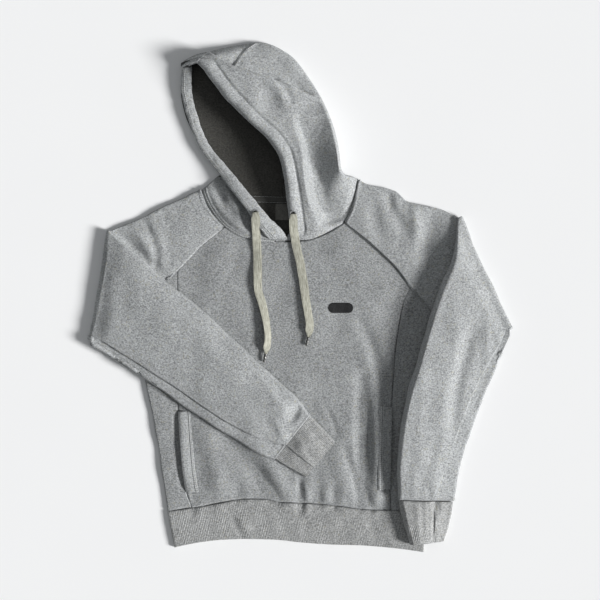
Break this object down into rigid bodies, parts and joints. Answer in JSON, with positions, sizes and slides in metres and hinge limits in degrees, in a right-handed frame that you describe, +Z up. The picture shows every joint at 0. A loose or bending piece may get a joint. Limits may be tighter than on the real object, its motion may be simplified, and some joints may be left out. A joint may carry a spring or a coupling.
{
  "type": "pullover hoodie",
  "caption": "Raglan-sleeve pullover hoodie in heather fleece, laid flat on its back with the sleeves folded over the front and the hood turned to one side.",
  "frame": {"origin": "on the flat underside of the back panel, at the middle of the body, where the garment rests", "axes": "+Z up from the surface it lies on, +Y from hem to hood, +X towards the wearer's left"},
  "size_m": [0.7408, 0.8926, 0.043],
  "materials": {
    "fleece": "heather grey brushed fleece with a matte napped face",
    "rib": "heather grey rib knit",
    "lace": "flat woven beige-grey lace with lengthwise ribs",
    "cord_tip": "dark crimped metal",
    "label": "pale woven satin"
  },
  "bodies": {
    "root": {"back": "fleece", "front": "fleece", "side_front_right": "fleece", "side_front_left": "fleece", "pocket_welt_right": "fleece", "pocket_welt_left": "fleece", "sleeve_right": "fleece", "sleeve_left": "fleece", "hood_right": "fleece", "hood_left": "fleece", "neck_tape": "fleece", "hem_band": "rib", "cuff_right": "rib", "cuff_left": "rib", "drawcord_right": "lace", "drawcord_left": "lace", "cord_tip_right": "cord_tip", "cord_tip_left": "cord_tip", "neck_label": "label"}
  },
  "joints": []
}
